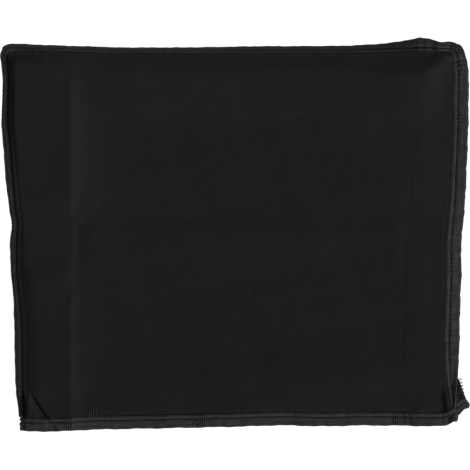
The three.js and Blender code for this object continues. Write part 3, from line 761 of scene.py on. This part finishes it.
def back_tape_width(length):
    """The back seam's tape narrows towards the mouth, on the right further up than on the left."""
    y = back_line.at(length)[..., 1]
    widen = np.where(length > back_line.knots[3], smooth(y, -136, -96), smooth(y, -178, -148))
    return mix(BACK_TAPE_END, TAPE, widen)


def back_tape_place(length, w, h):
    out = back_line.out(length, OUT_REACH)
    reach = w * back_tape_width(length) / TAPE + GAP - EDGE_SET
    return np.column_stack([back_line.at(length) + out * reach[:, None], SEAM_TAPE / 2 + h])


def tape_piece(name, lengths, place_tape, thick):
    def place(i, j):
        w, length = ACROSS[j], lengths[i]
        h = np.where(IS_UPPER[j], tape_face(w, length, thick), -tape_round(w, thick))
        return place_tape(length, w, h), np.column_stack([length, w])

    return piece(name, (len(lengths) - 1, len(ACROSS) - 1), place, closed=True)


# The hem is one ring round the mouth: front, right tuck, back, left tuck.
HEM_PLY = HEM_TAPE + GAP
HEM_TURN = 1.2  # how far the ring runs straight on before it turns back
HEM_SET = 0.25  # how far the hem's tape is drawn in over the gap beside it
HEM_FAN = 5.4  # how far its outer edge fans out at the lower right corner
HEM_END_ROUND = 1.5  # how far its right end is rounded
FRONT_STEPS, BACK_STEPS, LEAF_STEPS = 430, 160, 24


def flap_share(inner):
    """How far a part of the hem is out on the flap beside the lower right corner."""
    return np.where(inner[:, 2] < LOWER_LEAF + CLOTH, smooth(inner[:, 0], 214, 230), 0)


def hem_turn(upper, side):
    """A half turn down from a point, towards the right or the left."""
    angle = np.radians(np.linspace(90, -90, 9))
    radius = HEM_PLY / 2
    return upper + np.column_stack([
        side * (HEM_TURN + radius * np.cos(angle)), 0 * angle, radius * (np.sin(angle) - 1)
    ])


def hem_rows():
    """The hem's inner and outer edge, as points round the ring."""
    s = np.linspace(0, 1, FRONT_STEPS)
    front = patch(front_line, above_hem(front_mouth), 0)(s, 0 * s)
    front = np.column_stack([front, front_top(*front.T) - CLOTH / 2])
    s = np.linspace(1, 0, BACK_STEPS)
    back = patch(back_line, above_hem(back_mouth), 0)(s, 0 * s)
    back = np.column_stack([back, np.full(BACK_STEPS, HEM_TAPE / 2)])
    v = np.concatenate([
        np.linspace(0, LEAF, LEAF_STEPS),
        np.linspace(LEAF, LOWER_FROM, 10)[1:-1],
        np.linspace(LOWER_FROM + 0.0001, 1, LEAF_STEPS),
    ])
    lying = {"ply": HEM_PLY, "slack_in": 0.3, "slimmer": 0.3, "back_leaf": LOWER_LEAF, "overhang": TAPE}
    right = tuck_section(np.full(len(v), 5.0), v, **lying)
    left = tuck_section(np.full(len(v), 0.0), v, **lying)[::-1]
    inner = np.concatenate([
        front, hem_turn(front[-1], 1), right, hem_turn(right[-1], 1), back,
        hem_turn(left[0], -1)[::-1], left, hem_turn(front[0], -1)[::-1], front[:1],
    ])
    inner[:, 1] -= GAP - HEM_SET
    # On the flap behind the lower right corner it is foreshortened.
    fan = HEM_FAN * smooth(inner[:, 0], 203, 222)
    outer = inner + np.column_stack([fan, -TAPE * (1 - 0.3 * flap_share(inner)), 0 * fan])
    return inner, outer


hem_inner, hem_outer = hem_rows()
hem_length = running_length(hem_inner)
hem_front_end = hem_length[FRONT_STEPS - 1]


def along_hem(rows, length):
    return points_at(np.mod(length, hem_length[-1] + 1e-6), hem_length, rows)


def hem_place(length, w, h):
    """A point of the hem's tape, at width w on its middle and height h over it."""
    closing = smooth(np.minimum(length, hem_length[-1] - length), 0, 8)
    inner, outer = along_hem(hem_inner, length), along_hem(hem_outer, length)
    ahead = along_hem(hem_inner, length + 0.6) - along_hem(hem_inner, length - 0.6)
    normal = unit(np.cross(ahead, inner - outer))
    share = w / TAPE
    middle = mix(inner, outer, share[:, None])
    on_front = smooth(length, 0, 3) * (1 - smooth(length, hem_front_end - 5, hem_front_end))
    middle[:, 2] = mix(middle[:, 2], front_top(middle[:, 0], middle[:, 1]) - CLOTH / 2, on_front)
    # Its right end is rounded off.
    middle[:, 0] += HEM_END_ROUND * smooth(inner[:, 0], 209, 215) * (np.sin(np.pi * w / TAPE) - share**4)
    middle[:, 1] += closing * ripple(length, (0.25, 37, 0.5), (0.15, 14.3, 1.9)) * w / TAPE
    return middle + normal * (h * (1 - 0.5 * flap_share(inner)))[:, None]


THREAD_STEP = 0.5  # between the points of a thread
THREAD_SIDES = 6
SEAM_THREAD = 0.36  # radius of the thread
TACK_THREAD = 0.38


def thread_piece(name, lines, radius):
    """Threads as tubes along lines of points, joined into one piece."""
    points = np.concatenate(lines)
    ahead = np.concatenate([np.gradient(line, axis=0) for line in lines])
    side = unit(np.cross(ahead, (0.02, 0.03, 1)))
    up = unit(np.cross(side, ahead))
    run = np.concatenate([np.arange(len(line)) * THREAD_STEP for line in lines])
    ends = np.cumsum([len(line) for line in lines])[:-1] - 1

    def place(i, j):
        angle = 2 * np.pi * (j % THREAD_SIDES) / THREAD_SIDES
        around = side[i] * np.cos(angle)[:, None] + up[i] * np.sin(angle)[:, None]
        return points[i] + radius * around, np.column_stack([run[i], j])

    return piece(name, (len(points) - 1, THREAD_SIDES), place, closed=True, breaks=ends.tolist())


def stitches(place_tape, first, last, thick):
    """A line of stitches: the thread dips through the tape at each hole."""
    length = np.arange(first, last, THREAD_STEP)
    sunk = tape_face(np.full(len(length), STITCH_LINE), length * 0 + PITCH / 2, thick)
    arch = np.sqrt(np.abs(np.sin(np.pi * length / PITCH)))
    side = 0.12 * np.sin(np.pi * length / PITCH + 0.7)
    return place_tape(length, STITCH_LINE + side, sunk - 0.6 + 0.6 * arch)


def zigzag(run, swing, pitch):
    return swing * np.arcsin(np.sin(2 * np.pi * run / pitch)) / (np.pi / 2)


def seam_zigzag(first, last, middle, swing, pitch):
    """A zigzag of thread on the front seam's tape."""
    length = np.arange(first, last, THREAD_STEP)
    w = middle + zigzag(length, swing, pitch)
    return front_tape_place(length, w, tape_face(w, length, SEAM_TAPE) + 0.28)


def back_tack(place_tape, first, last, thick, high, pitch):
    """A bar of stitches to and fro across a tape, which locks the end of a seam."""
    rows = []
    for k, length in enumerate(np.arange(first, last, pitch)):
        w = np.linspace(1 + 0.4 * (k % 2), high - 0.5 * ((k + 1) % 2), 15)
        lengths = length + 0.35 * np.sin(w * 1.1 + 2.1 * k)
        lift = 0.2 + 0.16 * np.sin(2 * np.pi * w / 3.1 + 2.4 * k)
        rows.append(place_tape(lengths, w, tape_face(w, lengths, thick) + lift))
    return rows


def flap_zigzag():
    """The zigzag down the flap of side strip beside the lower right corner."""
    run = np.arange(0, 25, THREAD_STEP)
    y = FLAP_TOP[1] - run
    x = FLAP_TOP[0] + FLAP_LEAN * run + zigzag(run, 3.3, 3.2)
    inside = back_right_seam(y) - x
    z = mix(SEAM_TAPE, LOWER_LEAF + CLOTH / 2, smooth(inside, 0, 9)) + 0.3
    return np.column_stack([x, y, z])


def loose_stitches(x0, x1, top, foot):
    """A few upright stitches on the cloth above the hem."""
    rows = []
    for k, x in enumerate(np.arange(x0, x1, 2.3)):
        y = np.linspace(top - 0.7 * (k % 2), foot, 12)
        x_way = x + 0.3 * np.sin(y + k)
        rows.append(np.column_stack([x_way, y, front_top(x_way, y) + 0.25]))
    return rows


def along_front_hem(x):
    return np.interp(x, hem_inner[:FRONT_STEPS, 0], hem_length[:FRONT_STEPS])


def along_right_seam(y):
    right = front_line.length > front_line.corners[1]
    return np.interp(-y, -front_line.points[right, 1], front_line.length[right])


def make_threads():
    corner = front_line.corners[1]
    right_end, left_end = hem_front_end, hem_length[-1]
    seam = stitches(front_tape_place, 6, front_line.end - 5, SEAM_TAPE)
    hem = stitches(hem_place, 2, hem_front_end - 2, HEM_TAPE)
    tacks = [
        seam_zigzag(2, 40, middle=2.4, swing=1.5, pitch=4.2),
        seam_zigzag(corner - 2, corner + 20, middle=6, swing=3.6, pitch=4.6),
    ]
    ends = map(along_right_seam, SEAM_TACK_AT)
    tacks += back_tack(front_tape_place, *ends, SEAM_TAPE, high=9.5, pitch=3.3)
    tacks += back_tack(hem_place, right_end - 9, right_end - 0.5, HEM_TAPE, high=11.5, pitch=2.6)
    tacks += back_tack(hem_place, left_end - 3.6, left_end + 3.5, HEM_TAPE, high=12.6, pitch=2.1)
    tacks.append(flap_zigzag())
    for ends in HEM_TACKS:
        tacks += back_tack(hem_place, *map(along_front_hem, ends), HEM_TAPE, high=12.6, pitch=2.2)
    for row in LOOSE_STITCHES:
        tacks += loose_stitches(*row)
    return (
        thread_piece("seam_stitching", [seam], SEAM_THREAD),
        thread_piece("hem_stitching", [hem], SEAM_THREAD),
        thread_piece("tack_stitching", tacks, TACK_THREAD),
    )


def spaced(end, step):
    return np.linspace(0, end, round(end / step) + 1)


front = make_panel(
    "front_panel_cloth", front_line, front_mouth, graded(GRID_ACROSS), graded(GRID_UP), front_top
)
back_across, back_up = (np.arange(steps + 1) / steps for steps in BACK_GRID)
back = make_panel("back_panel_cloth", back_line, back_mouth, back_across, back_up, back_top, turned=-1)
strip = make_strip()
front_lengths, back_lengths = spaced(front_line.end, 1.0), spaced(back_line.end, 2.0)
front_tape = tape_piece("front_seam_binding", front_lengths, front_tape_place, SEAM_TAPE)
back_tape = tape_piece("back_seam_binding", back_lengths, back_tape_place, SEAM_TAPE)
hem = tape_piece("hem_binding", hem_length, hem_place, HEM_TAPE)
seam_threads, hem_threads, tack_threads = make_threads()


class Nodes:
    """Adds nodes to a tree and links them."""

    def __init__(self, tree):
        self.tree = tree

    def add(self, kind, *sources, **settings):
        node = self.tree.nodes.new(kind)
        for key, value in settings.items():
            setattr(node, key, value)
        for place, source in enumerate(sources):
            self.put(node.inputs[place], source)
        return node

    def put(self, target, source):
        if isinstance(source, bpy.types.NodeSocket):
            self.tree.links.new(source, target)
        elif source is not None:
            target.default_value = source

    def put_all(self, targets, sources):
        for name, source in sources.items():
            self.put(targets[name], source)

    def math(self, operation, *sources):
        return self.add("ShaderNodeMath", *sources, operation=operation).outputs[0]

    def sine(self, value, half_waves):
        """A sine wave with so many half waves for each step of value."""
        return self.math("SINE", self.math("MULTIPLY", value, half_waves * math.pi))

    def noise(self, vector, scale, detail):
        node = self.add("ShaderNodeTexNoise")
        self.put_all(node.inputs, {"Vector": vector, "Scale": scale, "Detail": detail})
        return node.outputs["Fac"]

    def between(self, value, low, high, lowest=0.0, highest=1.0):
        """Takes a value from lowest to highest over to one from low to high."""
        return self.add("ShaderNodeMapRange", value, lowest, highest, low, high).outputs[0]

    def group(self, tree, **sources):
        """A placed node group, with what feeds its inputs by their names."""
        node = self.add("ShaderNodeGroup", node_tree=tree)
        self.put_all(node.inputs, sources)
        return node.outputs


def new_group(name, inputs, outputs):
    """A node group, its nodes, what it is given and its result.

    Its inputs are numbers with a default, or a vector where that is None."""
    tree = bpy.data.node_groups.new(name, "ShaderNodeTree")
    for label, default in inputs.items():
        kind = "NodeSocketVector" if default is None else "NodeSocketFloat"
        made = tree.interface.new_socket(name=label, in_out="INPUT", socket_type=kind)
        if default is not None:
            made.default_value = default
    for label in outputs:
        tree.interface.new_socket(name=label, in_out="OUTPUT", socket_type="NodeSocketFloat")
    n = Nodes(tree)
    return tree, n, n.add("NodeGroupInput").outputs, n.add("NodeGroupOutput").inputs


def weave_group():
    """A plain weave of doubled threads, as heights from 0 to 1 and a shade about 1. The shade is painted
    sheen: crossings with the warp on top are coloured lighter and those with the weft on top darker, plus
    a little random tone.
    """
    checker_depth, thread_depth, warp_over_weft, painted_sheen_depth = 0.55, 0.3, 0.25, 0.75
    tree, n, given, result = new_group(
        "weave", {"Cloth": None, "Across": 0.0011, "Along": 0.0011}, ["Height", "Painted_Sheen_And_Tone"]
    )
    parts = n.add("ShaderNodeSeparateXYZ", given["Cloth"]).outputs
    u = n.math("DIVIDE", parts[0], given["Across"])
    v = n.math("DIVIDE", parts[1], given["Along"])
    over = n.math("MULTIPLY", n.sine(u, 1), n.sine(v, 1))
    # Where the warp is over the weft, two of its threads show, and elsewhere two of the weft's.
    up = n.math("GREATER_THAN", over, 0)
    warp = n.math("MULTIPLY", n.math("ABSOLUTE", n.sine(u, 2)), up)
    weft = n.math("MULTIPLY", n.math("ABSOLUTE", n.sine(v, 2)), n.math("SUBTRACT", 1, up))
    checker = n.math("MULTIPLY", n.math("ABSOLUTE", over), checker_depth)
    threads = n.math("MULTIPLY", n.math("ADD", warp, weft), thread_depth)
    height = n.math("ADD", checker, threads)
    n.put(result["Height"], n.math("ADD", height, n.math("MULTIPLY", over, warp_over_weft)))
    wander = n.between(n.noise(given["Cloth"], 900, 1), 0.9, 1.1)
    # Painted sheen: the same black thread is coloured lighter where the warp is on top and darker where
    # the weft is. The wander is random tone.
    n.put(result["Painted_Sheen_And_Tone"], n.math("ADD", n.math("MULTIPLY", over, painted_sheen_depth), wander))
    return tree


def mottle_group():
    """Slow and fine unevenness of dyed cloth, with pale specks of lint, as a factor about 1."""
    tree, n, given, result = new_group("mottle", {"Cloth": None, "Amount": 0.1, "Lint": 0.3}, ["Factor"])
    slow = n.between(n.noise(given["Cloth"], 16, 3), -1, 1)
    fine = n.between(n.noise(given["Cloth"], 240, 2), -1, 1)
    both = n.math("MULTIPLY", n.math("ADD", slow, fine), given["Amount"])
    specks = n.between(n.noise(given["Cloth"], 700, 0), 0, 1, lowest=0.7, highest=0.8)
    lint = n.math("MULTIPLY", specks, given["Lint"])
    n.put(result["Factor"], n.math("ADD", n.math("ADD", both, 1), lint))
    return tree


weave = weave_group()
mottle = mottle_group()


def fabric(name, color, roughness, specular, sheen, threads, relief, unevenness, lint, streaks=0.0):
    """Woven cloth, tape or thread. threads: width and length of a crossing of the weave, in metres."""
    material = bpy.data.materials.new(name)
    material.use_nodes = True
    n = Nodes(material.node_tree)
    shader = material.node_tree.nodes["Principled BSDF"].inputs
    looks = {"Roughness": roughness, "Specular IOR Level": specular}
    n.put_all(shader, looks | {"Sheen Weight": sheen, "Sheen Roughness": 0.5})
    cloth_at = n.add("ShaderNodeUVMap", uv_map="cloth").outputs[0]
    woven = n.group(weave, Cloth=cloth_at, Across=threads[0], Along=threads[1])
    uneven = n.group(mottle, Cloth=cloth_at, Amount=unevenness, Lint=lint)
    # The weave's painted sheen, times the cloth's own uneven tone and lint.
    shade = n.math("MULTIPLY", woven["Painted_Sheen_And_Tone"], uneven["Factor"])
    if streaks:
        # Fine streaks along a tape.
        drawn_out = n.add("ShaderNodeVectorMath", cloth_at, (0.09, 1, 1), operation="MULTIPLY").outputs[0]
        noise = n.noise(drawn_out, 620, 2)
        streak = n.between(noise, 1 - streaks, 1 + streaks, lowest=0.32, highest=0.68)
        shade = n.math("MULTIPLY", shade, streak)
    tone = n.add("ShaderNodeVectorMath", color, operation="SCALE")
    n.put(tone.inputs["Scale"], shade)
    n.put(shader["Base Color"], tone.outputs[0])
    weave_relief = n.add("ShaderNodeBump")
    n.put_all(weave_relief.inputs, {"Distance": relief, "Strength": 1.0, "Height": woven["Height"]})
    n.put(shader["Normal"], weave_relief.outputs[0])
    return material


cloth = fabric(
    "cover_cloth", color=(0.0117, 0.0117, 0.0134), roughness=0.7, specular=0.12, sheen=0.02,
    threads=(0.0014, 0.0014), relief=0.00014, unevenness=0.13, lint=0.5,
)
binding = fabric(
    "binding_tape", color=(0.0265, 0.0265, 0.0275), roughness=0.62, specular=0.22, sheen=0.03,
    threads=(0.0017, 0.00068), relief=0.00016, unevenness=0.12, lint=0.6, streaks=0.4,
)
spun = {"sheen": 0.03, "threads": (0.0009, 0.003), "relief": 0.0001, "unevenness": 0.1, "lint": 0.2}
thread = fabric("thread", color=(0.012, 0.012, 0.0125), roughness=0.55, specular=0.2, **spun)
# The back-tacks use the same black thread as the stitching, coloured lighter as painted sheen.
tack_thread_painted_sheen = fabric("tack_thread_painted_sheen", color=(0.03, 0.03, 0.031), roughness=0.5, specular=0.3, **spun)

for made, material, slot, nodes in (
    (front, cloth, "cover_cloth", ["front_panel"]),
    (back, cloth, "cover_cloth", ["back_panel"]),
    (strip, cloth, "cover_cloth", ["side_strip"]),
    (front_tape, binding, "binding_tape", ["front_seam_tape"]),
    (back_tape, binding, "binding_tape", ["back_seam_tape"]),
    (hem, binding, "binding_tape", ["hem_tape"]),
    (seam_threads, thread, "binding_tape", []),
    (hem_threads, thread, "binding_tape", []),
    (tack_threads, tack_thread_painted_sheen, "binding_tape", []),
):
    made.data.materials.append(material)
    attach(made, "root")
    if nodes:
        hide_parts(*nodes)

# The floor is a light table, which is white in the picture and lights the cover's rims from below.
FLOOR_Z = -0.8 * MM
FLOOR_GLOW = 0.3  # how brightly it lights the cover. The camera sees it at 1.
bpy.ops.mesh.primitive_plane_add(size=12, location=(0, 0, FLOOR_Z))
floor = bpy.context.object
floor.name = "floor"
white = bpy.data.materials.new("floor_white")
white.use_nodes = True
n = Nodes(white.node_tree)
shine = white.node_tree.nodes["Principled BSDF"].inputs
n.put_all(shine, {"Base Color": (0.3, 0.3, 0.3, 1), "Roughness": 0.9, "Emission Strength": 1.0})
seen = n.add("ShaderNodeLightPath").outputs["Is Camera Ray"]
n.put(shine["Emission Color"], n.between(seen, FLOOR_GLOW, 1.0))
floor.data.materials.append(white)


def area_light(name, place, size, power):
    """A square light that points at the middle of the part."""
    data = bpy.data.lights.new(name, "AREA")
    data.size = size
    data.energy = power
    light = add_object(name, data)
    light.location = place
    light.rotation_euler = (-Vector(place)).to_track_quat("-Z", "Y").to_euler()


# A low key light from the lower right brings out the creases, and a small one above the top fills in.
area_light("key", place=(7.36, -5.44, 3.6), size=2.88, power=1152)
area_light("fill", place=(-0.1, 0.42, 0.66), size=0.4, power=1.11)
world = bpy.data.worlds.new("studio")
world.use_nodes = True
background = world.node_tree.nodes["Background"].inputs
background["Color"].default_value = (1, 1, 1, 1)
background["Strength"].default_value = 0.1
bpy.context.scene.world = world

CAMERA_HEIGHT = 4.0
VIEW_WIDTH = 0.4686  # metres across the picture, at the height of the front
VIEW_MIDDLE = (-0.5, 0.5)  # its place on the drawing
FACE_HEIGHT = 0.012
camera_data = bpy.data.cameras.new("camera")
camera_data.clip_end = 20
camera_data.lens = camera_data.sensor_width * (CAMERA_HEIGHT - FACE_HEIGHT) / VIEW_WIDTH
camera = add_object("camera", camera_data)
middle_x, middle_y = ((shift + middle) * MM for shift, middle in zip(SHIFT, VIEW_MIDDLE))
camera.location = (middle_x, middle_y, CAMERA_HEIGHT)
bpy.context.scene.camera = camera
bpy.context.scene.view_settings.view_transform = "Standard"
